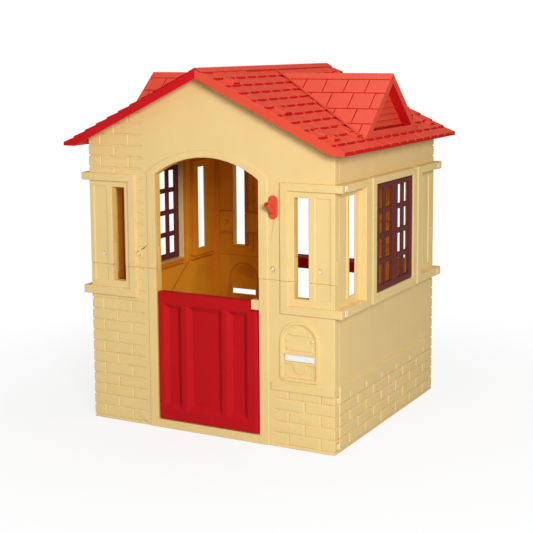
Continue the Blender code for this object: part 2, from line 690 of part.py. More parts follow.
def screw_places():
    """Roof screws on one slope, as (distance from the ridge, world Y)."""
    end = HALF_DEPTH - 0.015
    gable = [(reach, y) for reach in (0.095, 0.278, 0.436) for y in (-end, end)]
    return gable + [(0.436, -0.236), (0.436, 0.236)]


def shingle_edge(first):
    """Top line of the stepped courses from a distance off the ridge to the eave."""
    points = []
    reach = first
    for course in range(SHINGLE_COURSES):
        nose = min(CAP_REACH + (course + 1) * SHINGLE_STEP, EAVE_REACH)
        points.append((reach, deck_z(reach) + SHINGLE_TAIL))
        points.append((nose, deck_z(nose) + SHINGLE_NOSE))
        reach = nose
    return points


def roof_panel(side):
    """A roof half; side is +1 on the right and -1 on the left."""
    base = bmesh.new()
    profile = shingle_edge(CAP_REACH)
    flat_start = (FASCIA_BOTTOM_Z - EAVE_BOTTOM_Z) / SLOPE
    profile += [(EAVE_REACH, EAVE_BOTTOM_Z), (flat_start, EAVE_BOTTOM_Z), (GAP, FASCIA_BOTTOM_Z - SLOPE * GAP)]
    if side > 0:
        profile += [(GAP, deck_z(GAP)), (CAP_REACH + 0.002, deck_z(CAP_REACH + 0.002))]
        profile = [profile[-1]] + profile[1:-1]
    else:
        over = 0.0004
        profile += [(GAP, deck_z(0.0) + over), (-CAP_REACH, deck_z(CAP_REACH) + over),
                    (-CAP_REACH, deck_z(CAP_REACH) + CAP_THICK - 0.001), (0.0, RIDGE_TOP_Z),
                    (CAP_REACH, deck_z(CAP_REACH) + CAP_THICK - 0.001)]
    add_prism(base, [(side * x, z) for x, z in profile], -ROOF_HALF_LENGTH, ROOF_HALF_LENGTH, "Y")

    hollow = bmesh.new()
    inner = EAVE_REACH - 0.042
    outline = [(-0.01, 0.90), (inner, 0.90), (inner, DECK_UNDER_Z - SLOPE * inner), (-0.01, DECK_UNDER_Z)]
    outline.insert(3, (0.0, DECK_UNDER_Z))
    span = ROOF_HALF_LENGTH - FASCIA_THICK
    add_prism(hollow, [(side * x, z) for x, z in outline], -span, span, "Y")

    pads = bmesh.new()
    length, width, rise = SCREW_PAD
    for reach, y in screw_places():
        low, high = reach + 0.014, reach + 0.014 - length
        top_low, top_high = deck_z(low) + SHINGLE_NOSE + rise, deck_z(high) + SHINGLE_NOSE
        outline = [(low, deck_z(low) - 0.002), (low, top_low), (high, top_high), (high, deck_z(high) - 0.002)]
        add_prism(pads, [(side * x, z) for x, z in outline], y - width / 2, y + width / 2, "Y")

    heads = bmesh.new()
    shanks = bmesh.new()
    for reach, y in screw_places():
        x, z = side * reach, deck_z(reach)
        add_rod(heads, (x, y, z - 0.001), (x, y, z + 0.03), 0.0068)
        add_rod(shanks, (x, y, z - 0.04), (x, y, z + 0.002), 0.0032, 8)

    bosses = bmesh.new()
    for x, y in dormer_screw_places():
        z = deck_z(x)
        add_rod(bosses, (side * x, y, z - 0.03), (side * x, y, z + 0.03), 0.0032, 8)
    return carve("roof_panel", base, [
        ("DIFFERENCE", hollow), ("UNION", pads), ("DIFFERENCE", heads), ("DIFFERENCE", shanks),
        ("DIFFERENCE", bosses)])


def dormer_screw_places():
    """Screws from below into the dormer's bosses, as (distance from the ridge, world Y)."""
    return ((0.400, -0.140), (0.400, 0.140))


def dormer_base_z(reach):
    return RIDGE_TOP_Z + GAP - SLOPE * reach


def dormer(side):
    """A false dormer: hollow gable roof, open below, with a louvred triangular recess."""
    def triangle(apex_z, base_z):
        half = (apex_z - base_z) / DORMER_SLOPE
        return [(-half, base_z), (half, base_z), (0.0, apex_z)]

    def below(extra):
        far, near = 0.02, DORMER_FACE + 0.02
        outline = [(far, 0.8), (near, 0.8), (near, dormer_base_z(near) + extra),
                   (far, dormer_base_z(far) + extra)]
        return [(side * x, z) for x, z in outline]

    def add_across(bm, outline, low, high):
        x0, x1 = sorted((side * low, side * high))
        add_prism(bm, outline, x0, x1, "X")

    wall = 0.005
    base = bmesh.new()
    add_across(base, triangle(DORMER_RIDGE_Z, 0.93), 0.03, DORMER_FACE)
    slope_cut = bmesh.new()
    add_prism(slope_cut, below(0.0), -0.3, 0.3, "Y")

    flashing = bmesh.new()
    reach, thick = DORMER_FLASHING
    plan = ((0.032, 0.0), (DORMER_FACE, -reach), (DORMER_FACE, reach))
    rings = []
    for rise in (-0.006, thick):
        rings.append([flashing.verts.new((side * x, y, dormer_base_z(x) + rise)) for x, y in plan])
    flashing.faces.new(rings[0])
    flashing.faces.new(rings[1])
    for here in range(3):
        there = (here + 1) % 3
        flashing.faces.new((rings[0][here], rings[0][there], rings[1][there], rings[1][here]))
    pad_room = bmesh.new()
    for y0, y1 in both_sides(0.2145, 0.26):
        x0, x1 = sorted((side * 0.374, side * 0.453))
        add_prism(pad_room, rect(x0, x1, y0, y1), 0.90, 1.04, "Z")
    hollow = bmesh.new()
    back = DORMER_FACE - DORMER_RECESS_DEPTH - wall
    add_across(hollow, triangle(DORMER_RIDGE_Z - wall * 1.5, 0.92), 0.02, back)
    recess = bmesh.new()
    outline = triangle(DORMER_RECESS_APEX_Z, DORMER_RECESS_BASE_Z)
    add_across(recess, outline, DORMER_FACE - DORMER_RECESS_DEPTH, DORMER_FACE + 0.01)
    louvres = bmesh.new()
    z = DORMER_RECESS_BASE_Z + 0.004
    floor_x = DORMER_FACE - DORMER_RECESS_DEPTH
    while z + LOUVRE_PITCH < DORMER_RECESS_APEX_Z - 0.010:
        half = (DORMER_RECESS_APEX_Z - z - LOUVRE_PITCH * 0.6) / DORMER_SLOPE + 0.001
        slat = [(floor_x - 0.001, z), (floor_x + 0.008, z), (floor_x - 0.001, z + LOUVRE_PITCH * 0.8)]
        add_prism(louvres, [(side * x, height) for x, height in slat], -half, half, "Y")
        z += LOUVRE_PITCH
    bosses = bmesh.new()
    for x, y in dormer_screw_places():
        top = DORMER_RIDGE_Z - wall * 1.2 - DORMER_SLOPE * (abs(y) + 0.007)
        add_rod(bosses, (side * x, y, dormer_base_z(x) + 0.004), (side * x, y, top + 0.008), 0.007, 10)
    holes = bmesh.new()
    for x, y in dormer_screw_places():
        add_rod(holes, (side * x, y, 0.9), (side * x, y, dormer_base_z(x) + 0.020), 0.0032, 8)
    return carve("dormer", base, [
        ("UNION", flashing), ("DIFFERENCE", pad_room), ("DIFFERENCE", slope_cut),
        ("DIFFERENCE", hollow), ("DIFFERENCE", recess),
        ("UNION", louvres), ("UNION", bosses), ("DIFFERENCE", holes)])


# ---------------------------------------------------------------- door

def door_leaf():
    """The half door, modelled closed, with its origin on the hinge axis."""
    latch_x = -DOOR_HALF + DOOR_CLEAR
    face_y, back_y = HINGE_Y - DOOR_THICK / 2, HINGE_Y + DOOR_THICK / 2
    chamfer = 0.004
    notch_x = HINGE_X - 0.012 - DOOR_CLEAR
    full = [(latch_x, back_y - chamfer), (latch_x, face_y + chamfer), (latch_x + chamfer, face_y)]
    full += arc((HINGE_X, HINGE_Y), DOOR_THICK / 2, -90, 90, 10)
    full.append((latch_x + chamfer, back_y))
    short = [(latch_x, back_y - chamfer), (latch_x, face_y + chamfer), (latch_x + chamfer, face_y),
             (notch_x, face_y), (notch_x, back_y), (latch_x + chamfer, back_y)]
    low, high = DOOR_Z
    base = bmesh.new()
    add_prism(base, full, low, LUG_Z[0] - DOOR_CLEAR, "Z")
    head = bmesh.new()
    add_prism(head, short, LUG_Z[0] - DOOR_CLEAR - 0.004, high, "Z")
    panels = bmesh.new()
    slope, depth, back_depth = 0.0165, 0.0115, 0.006
    for x0, x1 in DOOR_PANELS:
        z0, z1 = DOOR_PANEL_Z
        wide = (x0, x1, z0, z1)
        floor = (x0 + slope, x1 - slope, z0 + slope, z1 - slope)
        outer = (x0 - slope, x1 + slope, z0 - slope, z1 + slope)
        add_frustum(panels, outer, floor, face_y - depth, face_y + depth)
        add_frustum(panels, floor, outer, back_y - back_depth, back_y + back_depth)
    bores = bmesh.new()
    hole = PIN_RADIUS + 0.0003
    add_rod(bores, (HINGE_X, HINGE_Y, low - 0.01), (HINGE_X, HINGE_Y, low + 0.030), hole)
    top = LUG_Z[0] - DOOR_CLEAR
    add_rod(bores, (HINGE_X, HINGE_Y, top - 0.030), (HINGE_X, HINGE_Y, top + 0.01), hole)
    mesh = carve("door", base, [("UNION", head), ("DIFFERENCE", panels), ("DIFFERENCE", bores)])
    return moved(mesh, (HINGE_X, HINGE_Y, 0.0))


def pin(z0, z1):
    bm = bmesh.new()
    add_rod(bm, (0.0, 0.0, z0), (0.0, 0.0, z1), PIN_RADIUS)
    return carve("pin", bm, [])


# ---------------------------------------------------------------- window leaves

def window_leaf(end):
    """A leaf of the right-hand window; end is -1 for the front leaf and +1 for the rear one."""
    x0, x1 = LEAF_OUTER_X - LEAF_THICK, LEAF_OUTER_X
    meet = LEAF_CLEAR / 2
    hinge_y = end * LEAF_HINGE_Y
    first = 0 if end > 0 else 180
    outline = arc((LEAF_HINGE_X, hinge_y), LEAF_THICK / 2, first, first + 180, 8)
    outline += [(x0 if end > 0 else x1, end * meet), (x1 if end > 0 else x0, end * meet)]
    z0, z1 = WINDOW_Z[0] + LEAF_CLEAR, WINDOW_Z[1] - LEAF_CLEAR
    base = bmesh.new()
    add_prism(base, outline, z0, z1, "Z")

    outer_stile, inner_stile, bar, top_rail, bottom_rail = 0.022, 0.020, 0.017, 0.016, 0.019
    span = WINDOW_HALF - LEAF_CLEAR - meet
    pane = (span - outer_stile - inner_stile - bar) / 2
    row = (z1 - z0 - top_rail - bottom_rail - 3 * bar) / 4
    panes = bmesh.new()
    for column in range(2):
        y0 = meet + inner_stile + column * (pane + bar)
        low, high = sorted((end * y0, end * (y0 + pane)))
        for level in range(4):
            bottom = z0 + bottom_rail + level * (row + bar)
            add_prism(panes, rect(low, high, bottom, bottom + row), x0 - 0.01, x1 + 0.01, "X")
    sunk_bars = bmesh.new()
    low, high = sorted((end * (meet + inner_stile), end * (WINDOW_HALF - LEAF_CLEAR - outer_stile)))
    outline = rect(low, high, z0 + bottom_rail, z1 - top_rail)
    add_prism(sunk_bars, outline, x1 - LEAF_BAR_SUNK, x1 + 0.01, "X")
    stubs = bmesh.new()
    low, high = WINDOW_Z[0] - 0.006, WINDOW_Z[1] + 0.006
    add_rod(stubs, (LEAF_HINGE_X, hinge_y, low), (LEAF_HINGE_X, hinge_y, high), LEAF_PIN)
    mesh = carve("leaf", base, [("DIFFERENCE", panes), ("DIFFERENCE", sunk_bars), ("UNION", stubs)])
    return moved(mesh, (LEAF_HINGE_X, hinge_y, 0.0))


# ---------------------------------------------------------------- small parts

def flag_holder():
    """Stadium plate with two pegs behind and a hollow tube that points out and up."""
    half, radius = 0.0215, 0.0155
    face, back = front(-0.006), front(-GAP)
    outline = arc((FLAG_X, FLAG_Z + half), radius, 0, 180, 8)
    outline += arc((FLAG_X, FLAG_Z - half), radius, 180, 360, 8)
    base = bmesh.new()
    add_prism(base, outline, face, back, "Y")
    root = Vector((FLAG_X, front(0.0), 0.740))
    along = Vector((0.0, -0.050, 0.034)).normalized()
    tube = bmesh.new()
    add_rod(tube, root + along * 0.004, root + along * 0.058, 0.0085)
    bore = bmesh.new()
    add_rod(bore, root + along * 0.016, root + along * 0.08, 0.0058)
    flush = bmesh.new()
    add_prism(flush, rect(FLAG_X - 0.05, FLAG_X + 0.05, 0.6, 0.9), back, back + 0.05, "Y")
    pegs = bmesh.new()
    for z in (FLAG_Z - 0.020, FLAG_Z + 0.020):
        add_rod(pegs, (FLAG_X, front(-0.003), z), (FLAG_X, front(0.012), z), 0.004, 10)
    return soften(carve("flag_holder", base, [
        ("UNION", tube), ("DIFFERENCE", flush), ("DIFFERENCE", bore), ("UNION", pegs)]))


def rear_counter():
    """A bar across the rear doorway, grooved to sit on the jambs, with room for the unused lug."""
    neck, wide = DOOR_HALF - 0.001, DOOR_HALF + 0.014
    inner, outer = COUNTER_Y
    wall_in, wall_out = HALF_DEPTH - GABLE_THICK - GAP, HALF_DEPTH + TRIM_PROUD + GAP
    outline = [(-wide, inner), (wide, inner), (wide, wall_in), (neck, wall_in), (neck, wall_out),
               (wide, wall_out), (wide, outer), (-wide, outer), (-wide, wall_out),
               (-neck, wall_out), (-neck, wall_in), (-wide, wall_in)]
    base = bmesh.new()
    add_prism(base, outline, *COUNTER_Z, "Z")
    holes = bmesh.new()
    for x in (-COUNTER_SCREW_X, COUNTER_SCREW_X):
        z = sum(COUNTER_Z) / 2
        add_rod(holes, (x, inner - 0.01, z), (x, wall_in + 0.01, z), 0.0032)
    lug = bmesh.new()
    outline = rect(-wide, -(HINGE_X - 0.015), LUG_Z[0] - 0.0015, COUNTER_Z[1] + 0.01)
    add_prism(lug, outline, wall_in, wall_out, "Y")
    return carve("rear_counter", base, [("DIFFERENCE", holes), ("DIFFERENCE", lug)])


def screw(direction, length):
    """A pan-head screw whose head starts at the origin, with its shank along a direction."""
    turn = Vector(direction).to_track_quat("Z", "Y").to_matrix().to_4x4()
    rings = ((0.0, 0.0060), (HEAD_THICK, 0.0060), (HEAD_THICK, 0.0027), (length, 0.0027))
    sides = 8
    bm = bmesh.new()
    loops = []
    for level, radius in rings:
        loop = []
        for i in range(sides):
            angle = 2 * math.pi * (i + 0.5) / sides
            spot = Vector((radius * math.cos(angle), radius * math.sin(angle), level))
            loop.append(bm.verts.new(turn @ spot))
        loops.append(loop)
    bm.faces.new(loops[0])
    bm.faces.new(loops[-1])
    for lower, upper in zip(loops, loops[1:]):
        for i in range(sides):
            j = (i + 1) % sides
            bm.faces.new((lower[i], lower[j], upper[j], upper[i]))
    return soften(carve("screw", bm, []))


def add_screws(finish, painted):
    """Every screw of the house, each with its origin at the top of its head."""
    side_names = ((1, "right"), (-1, "left"))
    wall = screw((0, 1, 0), 0.024)
    for i, (x, z) in enumerate(LAP_SCREWS):
        origin = (x, front(0.002), z)
        show(f"wall_screw_front_{i + 1}", wall, painted, origin=origin)
        show(f"wall_screw_back_{i + 1}", wall, painted, turned=True, origin=origin)

    roof = screw((0, 0, -1), 0.026)
    for side, word in side_names:
        for i, (reach, y) in enumerate(screw_places()):
            origin = (side * reach, y, deck_z(reach) - 0.001 + GAP + HEAD_THICK)
            show(f"roof_screw_{word}_{i + 1}", roof, finish, origin=origin)

    upright = screw((0, 0, 1), 0.034)
    for side, word in side_names:
        for i, (reach, y) in enumerate(dormer_screw_places()):
            under = DECK_UNDER_Z - SLOPE * (reach + 0.0062) - HEAD_THICK - GAP
            show(f"dormer_screw_{word}_{i + 1}", upright, finish, origin=(side * reach, y, under))

    level = screw((0, 1, 0), 0.012)
    for i, x in enumerate((-COUNTER_SCREW_X, COUNTER_SCREW_X)):
        origin = (x, COUNTER_Y[0] - HEAD_THICK - GAP, sum(COUNTER_Z) / 2)
        show(f"counter_screw_{i + 1}", level, finish, origin=origin)


# ---------------------------------------------------------------- assembly

def build():
    clear_scene()
    cream = material("cream_plastic", CREAM, 0.45)
    red = material("roof_red_plastic", RED, 0.42)
    door_red = material("door_red_plastic", DOOR_RED, 0.25)
    brown = material("brown_plastic", BROWN, 0.45)
    steel = material("zinc_steel", STEEL, 0.35, 1.0)
    painted = material("painted_steel", PAINTED, 0.40)

    lower, upper, side = lower_gable(), upper_gable(), side_wall()
    show("front_wall_lower", lower, cream)
    show("front_wall_upper", upper, cream)
    show("back_wall_lower", lower, cream, turned=True)
    show("back_wall_upper", upper, cream, turned=True)
    show("side_wall_right", side, cream)
    show("side_wall_left", side, cream, turned=True)

    show("roof_panel_right", roof_panel(1), red)
    show("roof_panel_left", roof_panel(-1), red)
    show("dormer_right", dormer(1), red)
    show("dormer_left", dormer(-1), red)

    axis = (HINGE_X, HINGE_Y, 0.0)
    show("front_door", door_leaf(), door_red, origin=axis)
    top = LUG_Z[0] - DOOR_CLEAR
    show("door_pin_upper", soften(pin(top - 0.028, LUG_Z[1] - 0.006)), steel, origin=axis)
    show("door_pin_lower", soften(pin(0.0115, DOOR_Z[0] + 0.028)), steel, origin=axis)

    for end, right_name, left_name in ((-1, "front", "rear"), (1, "rear", "front")):
        leaf = window_leaf(end)
        origin = (LEAF_HINGE_X, end * LEAF_HINGE_Y, 0.0)
        show("window_leaf_right_" + right_name, leaf, brown, origin=origin)
        show("window_leaf_left_" + left_name, leaf, brown, turned=True, origin=origin)

    show("flag_holder", flag_holder(), red)
    show("rear_counter", rear_counter(), door_red)
    add_screws(steel, painted)


build()
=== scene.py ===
import math

import bmesh
import bpy
from mathutils import Matrix, Vector
from mathutils.bvhtree import BVHTree


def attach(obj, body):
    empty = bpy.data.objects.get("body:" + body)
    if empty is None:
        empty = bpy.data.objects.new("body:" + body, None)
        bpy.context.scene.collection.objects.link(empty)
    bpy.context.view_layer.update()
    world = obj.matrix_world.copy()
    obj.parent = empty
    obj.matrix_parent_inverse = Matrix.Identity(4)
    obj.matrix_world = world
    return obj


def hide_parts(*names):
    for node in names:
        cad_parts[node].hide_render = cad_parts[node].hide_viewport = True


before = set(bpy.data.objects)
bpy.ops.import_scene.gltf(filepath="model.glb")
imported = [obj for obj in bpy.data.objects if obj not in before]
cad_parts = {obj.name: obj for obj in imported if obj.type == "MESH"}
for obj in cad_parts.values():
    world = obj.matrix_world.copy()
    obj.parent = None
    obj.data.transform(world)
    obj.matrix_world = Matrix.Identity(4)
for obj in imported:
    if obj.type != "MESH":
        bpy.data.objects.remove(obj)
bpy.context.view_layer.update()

# Sizes shared with the CAD model
HALF_WIDTH, HALF_DEPTH = 0.450, 0.416
SKIN = 0.005
SLOPE = 0.48
DECK_TOP_Z = 1.178
CAP_REACH = 0.0215
SHINGLE_STEP = 0.0444
SHINGLE_COURSES = 11
ROOF_HALF_LENGTH = 0.474
SHINGLE_WIDTH = 2 * ROOF_HALF_LENGTH / 13.5
CAP_PIECES = 7
CAP_PIECE = 2 * ROOF_HALF_LENGTH / CAP_PIECES
DORMER_FACE = 0.4635
DORMER_RIDGE_Z = 1.1576
DORMER_SLOPE = 0.8865
TAB_Z = (0.022, 0.168, 0.4425, 0.8235)  # heights of the side walls' locking tabs

# Details that only the visual has
JOINT_HALF, FLARE_HALF, FLARE_LENGTH = 0.0026, 0.0050, 0.014  # upright joints between the shingles
DASH_BREAK, DASH_WIDTH, DASH_DEPTH = 0.0085, 0.0060, 0.0035  # shadow cuts below the butts
CAP_JOINT_HALF = 0.0012
DORMER_ROWS = (0.023, 0.070, 0.124, 0.174, 0.230)  # distances from the dormer's ridge line
DORMER_SHINGLE = 0.076
DORMER_LINE_HALF = 0.0016
MERGE, SLIVER = 2e-5, 1e-4  # vertices closer than the first are one; thinner faces go
ROUNDED_FROM, ROUNDED_TO, SHARP_ABOVE = 32, 125, 50  # angles between faces, in degrees

# Which material a face of a wall or of the roof takes; all but OUTSIDE and PLAIN hold painted light
# or shade
OUTSIDE, INNER_PAINTED_GLOW, RIBS_PAINTED_DIM_GLOW, TAB_PAINTED_HIGHLIGHT, JAMB_PAINTED_GLOW = range(5)
PLAIN, PAINTED_SHADE, RAKE_PAINTED_SHADE = range(3)


# ---------------------------------------------------------------- materials

def nodes_of(name):
    made = bpy.data.materials.new(name)
    made.use_nodes = True
    tree = made.node_tree
    return made, tree, tree.nodes["Principled BSDF"]


def noise(tree, scale, detail=2.0, rough=0.5):
    coords = tree.nodes.new("ShaderNodeTexCoord")
    made = tree.nodes.new("ShaderNodeTexNoise")
    made.inputs["Scale"].default_value = scale
    made.inputs["Detail"].default_value = detail
    made.inputs["Roughness"].default_value = rough
    tree.links.new(coords.outputs["Object"], made.inputs["Vector"])
    return made


def bump(tree, source, strength, distance, under=None):
    made = tree.nodes.new("ShaderNodeBump")
    made.inputs["Strength"].default_value = strength
    made.inputs["Distance"].default_value = distance
    tree.links.new(source.outputs["Fac"], made.inputs["Height"])
    if under:
        tree.links.new(under.outputs["Normal"], made.inputs["Normal"])
    return made


def vary_roughness(tree, shader, source, low, high):
    span = tree.nodes.new("ShaderNodeMapRange")
    span.inputs["To Min"].default_value = low
    span.inputs["To Max"].default_value = high
    tree.links.new(source.outputs["Fac"], span.inputs["Value"])
    tree.links.new(span.outputs["Result"], shader.inputs["Roughness"])


def plastic(name, light, dark, rough, grain=0.06, wave=0.05, shine=0.3, painted_glow=0.0):
    """Moulded plastic: faint tone mottling, a fine mould grain and a thin skin's soft waves."""
    made, tree, shader = nodes_of(name)
    ramp = tree.nodes.new("ShaderNodeValToRGB")
    first, last = ramp.color_ramp.elements
    first.position, last.position = 0.30, 0.72
    first.color, last.color = (*dark, 1.0), (*light, 1.0)
    tree.links.new(noise(tree, 7.0, 3.0, 0.6).outputs["Fac"], ramp.inputs["Fac"])
    tree.links.new(ramp.outputs["Color"], shader.inputs["Base Color"])
    vary_roughness(tree, shader, noise(tree, 90.0, 3.0, 0.55), rough - 0.05, rough + 0.07)
    broad = bump(tree, noise(tree, 16.0, 1.0), wave, 0.02)
    fine = bump(tree, noise(tree, 1400.0, 2.0, 0.7), grain, 0.0006, broad)
    tree.links.new(fine.outputs["Normal"], shader.inputs["Normal"])
    shader.inputs["Specular IOR Level"].default_value = shine
    # painted light: the base colour glows, standing for light let through a thin skin
    if painted_glow:
        tree.links.new(ramp.outputs["Color"], shader.inputs["Emission Color"])
        shader.inputs["Emission Strength"].default_value = painted_glow
    return made


def metal(name, colour, metallic, low, high):
    made, tree, shader = nodes_of(name)
    shader.inputs["Base Color"].default_value = (*colour, 1.0)
    shader.inputs["Metallic"].default_value = metallic
    vary_roughness(tree, shader, noise(tree, 500.0), low, high)
    return made


CREAM = plastic("cream_moulded", (0.83, 0.615, 0.265), (0.80, 0.585, 0.245), 0.42)
# Painted light: the inside faces are orange with a faint glow, standing for light let through the
# thin cream skin
CREAM_INSIDE_PAINTED_GLOW = plastic("cream_painted_light_through", (0.76, 0.30, 0.011), (0.68, 0.24, 0.008), 0.50,
                       painted_glow=0.08)
# Painted light: the thick ribs inside take a darker orange and a fainter glow, for less light let
# through
CREAM_RIBS_PAINTED_DIM_GLOW = plastic("cream_thick_inside_painted_dim_glow", (0.72, 0.26, 0.012), (0.62, 0.20, 0.009), 0.50,
                     painted_glow=0.05)
# Painted light: deep jambs take a golden colour and a glow, for light let through the skin
CREAM_JAMB_PAINTED_GLOW = plastic("cream_jamb_painted_glow", (0.84, 0.52, 0.14), (0.80, 0.48, 0.12), 0.45, painted_glow=0.04)
# Painted highlight: the ends of the side walls' locking tabs are painted paler than the cream
NUB_PAINTED_HIGHLIGHT = plastic("cream_nub_painted_highlight", (0.92, 0.80, 0.58), (0.90, 0.77, 0.54), 0.35)
RED = plastic("roof_moulded", (0.77, 0.078, 0.036), (0.73, 0.070, 0.032), 0.40, grain=0.08)
# Painted shade: the butts, the joint floors and the dormer's reveals take this deep red because
# they lie in shade
RED_PAINTED_SHADE = plastic("roof_in_shade", (0.60, 0.010, 0.010), (0.54, 0.008, 0.008), 0.55,
                   shine=0.1)
# Painted shade: the left front rake takes a darker red because it lies in shade
RED_SHADE = plastic("roof_rake_painted_shade", (0.60, 0.008, 0.012), (0.56, 0.007, 0.010), 0.45, shine=0.1)
DOOR = plastic("door_moulded", (0.50, 0.006, 0.010), (0.47, 0.005, 0.009), 0.30,
               grain=0.0, wave=0.0, shine=0.12)
BROWN = plastic("leaf_moulded", (0.150, 0.030, 0.024), (0.130, 0.025, 0.020), 0.42,
                shine=0.15)
ZINC = metal("zinc_plate", (0.50, 0.49, 0.46), 1.0, 0.25, 0.50)
PAINTED = metal("cream_enamel", (0.88, 0.72, 0.46), 0.0, 0.30, 0.45)


# ---------------------------------------------------------------- pieces

def new_object(name, bm):
    mesh = bpy.data.meshes.new(name)
    bm.to_mesh(mesh)
    bm.free()
    obj = bpy.data.objects.new(name, mesh)
    bpy.context.scene.collection.objects.link(obj)
    return obj


def apply_modifiers(obj):
    graph = bpy.context.evaluated_depsgraph_get()
    mesh = bpy.data.meshes.new_from_object(obj.evaluated_get(graph))
    obj.modifiers.clear()
    obj.data = mesh


def add_prism(bm, outline, low, high):
    """A closed prism between two places, each given as a function of an outline's point."""
    start = [bm.verts.new(low(point)) for point in outline]
    end = [bm.verts.new(high(point)) for point in outline]
    bm.faces.new(start)
    bm.faces.new(end)
    for here in range(len(outline)):
        there = (here + 1) % len(outline)
        bm.faces.new((start[here], start[there], end[there], end[here]))


def wall_finish(outward):
    """Sort a wall's faces by what a ray from each of them towards the outside meets; all finishes
    but the outside one paint light into the colour.
    """
    outward = Vector(outward)

    def finish(face, shape):
        centre = face.calc_center_median()
        start = centre + face.normal * 0.0004
        if shape.ray_cast(start, outward)[0] is None:
            at_corner = outward.x and abs(centre.y) > HALF_DEPTH - 0.030
            proud = abs(centre.x) > HALF_WIDTH + 0.0002
            if at_corner and proud and min(abs(centre.z - z) for z in TAB_Z) < 0.011:
                # the tabs' ends take the painted highlight
                return TAB_PAINTED_HIGHLIGHT
            depth = min(HALF_WIDTH - abs(centre.x), HALF_DEPTH - abs(centre.y))
            edge_on = abs(face.normal.dot(outward)) < 0.3
            # deep edge-on jamb faces take the painted golden glow
            return JAMB_PAINTED_GLOW if depth > SKIN + 0.001 and edge_on else OUTSIDE
        through = shape.ray_cast(centre - face.normal * 0.0002, outward)[3]
        thin = through is not None and through < SKIN * 1.5
        # the thin inner skin takes a painted glow for light let through, the thick ribs a dimmer
        # painted glow
        return INNER_PAINTED_GLOW if thin and face.normal.dot(outward) < -0.7 else RIBS_PAINTED_DIM_GLOW

    return finish


def roof_finish(side):
    """The butts and the floors of the joints take a painted shade in deep red; the left front rake
    takes a painted shade too.
    """
    def finish(face, shape):
        centre = face.calc_center_median()
        heights = [v.co.z - deck_z(abs(v.co.x)) for v in face.verts]
        if side < 0 and centre.y < -ROOF_HALF_LENGTH + 0.002:
            return RAKE_PAINTED_SHADE
        if max(heights) < -0.0045 or abs(centre.y) > ROOF_HALF_LENGTH - 0.002:
            return PLAIN
        faces_eave = face.normal.x * side > 0.75
        return PAINTED_SHADE if faces_eave or sum(heights) / len(heights) < 0.0006 else PLAIN

    return finish


def dormer_finish(side):
    """The dormer's joints and the reveals round its louvres take a painted shade in deep red."""
    def finish(face, shape):
        centre = face.calc_center_median()
        depth = DORMER_RIDGE_Z - DORMER_SLOPE * abs(centre.y) - centre.z
        if 0.0004 < depth < 0.0036 and abs(centre.x) < DORMER_FACE - 0.001:
            return PAINTED_SHADE
        inset = DORMER_FACE - abs(centre.x)
        reveal = 0.001 < inset < 0.035 and depth > 0.01 and abs(face.normal.x) < 0.2
        return PAINTED_SHADE if reveal and centre.z > 0.97 else PLAIN

    return finish


def weigh_edges(bm, width):
    """Outer corners get the full rounding, inner ones a third, and both less on a narrow face."""
    weight = bm.edges.layers.float.new("bevel_weight_edge")
    for edge in bm.edges:
        turn = math.degrees(edge.calc_face_angle(0.0)) if len(edge.link_faces) == 2 else 0.0
        if not ROUNDED_FROM < turn < ROUNDED_TO:
            continue
        start = edge.verts[0].co
        along = (edge.verts[1].co - start).normalized()
        narrow = min(max((v.co - start).cross(along).length for v in face.verts)
                     for face in edge.link_faces)
        if narrow < 0.0003:
            continue
        share, most = (0.70, 1.0) if edge.is_convex else (0.22, 0.34)
        if edge.is_convex and narrow < 0.0026:
            share = 0.44
        length = max(edge.calc_length(), 0.001)
        edge[weight] = min(most, share * narrow / width, 0.6 * length / width)


def clean_copy(mesh):
    bm = bmesh.new()
    bm.from_mesh(mesh)
    bmesh.ops.remove_doubles(bm, verts=bm.verts, dist=MERGE)
    bmesh.ops.dissolve_degenerate(bm, edges=bm.edges, dist=MERGE)
    return bm


def moulded(node, body, finishes, width, segments=2, grooves=None, choose=None):
    """The CAD node's own shape with its grooves cut and its edges rounded, as a moulding's are."""
    obj = new_object(node + "_skin", clean_copy(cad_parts[node].data))
    if grooves:
        bmesh.ops.recalc_face_normals(grooves, faces=grooves.faces)
        tool = new_object(node + "_grooves", grooves)
        cut = obj.modifiers.new("cut", "BOOLEAN")
        cut.operation = "DIFFERENCE"
        cut.object = tool
        cut.use_self = True
        apply_modifiers(obj)
        bpy.data.objects.remove(tool, do_unlink=True)
    bm = clean_copy(obj.data)
    bmesh.ops.triangulate(bm, faces=bm.faces)
    bmesh.ops.dissolve_degenerate(bm, edges=bm.edges, dist=SLIVER)
    bmesh.ops.join_triangles(bm, faces=bm.faces, angle_face_threshold=math.radians(0.5),
                             angle_shape_threshold=math.radians(60))
    obj.data.materials.clear()
    for finish in finishes:
        obj.data.materials.append(finish)
    bm.normal_update()
    shape = BVHTree.FromBMesh(bm)
    for face in bm.faces:
        face.material_index = choose(face, shape) if choose else 0
    weigh_edges(bm, width)
    bm.to_mesh(obj.data)
    bm.free()
    round_edges = obj.modifiers.new("round", "BEVEL")
    round_edges.width = width
    round_edges.segments = segments
    round_edges.limit_method = "WEIGHT"
    round_edges.use_clamp_overlap = False
    apply_modifiers(obj)
    obj.data.shade_smooth()
    for polygon in obj.data.polygons:
        square_on = max(abs(part) for part in polygon.normal) > 0.9998
        if square_on:
            polygon.use_smooth = False
    obj.data.set_sharp_from_angle(angle=math.radians(SHARP_ABOVE))
    even = obj.modifiers.new("even", "WEIGHTED_NORMAL")
    even.weight = 100
    even.keep_sharp = True
    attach(obj, body)
    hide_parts(node)


def deck_z(reach):
    return DECK_TOP_Z - SLOPE * reach


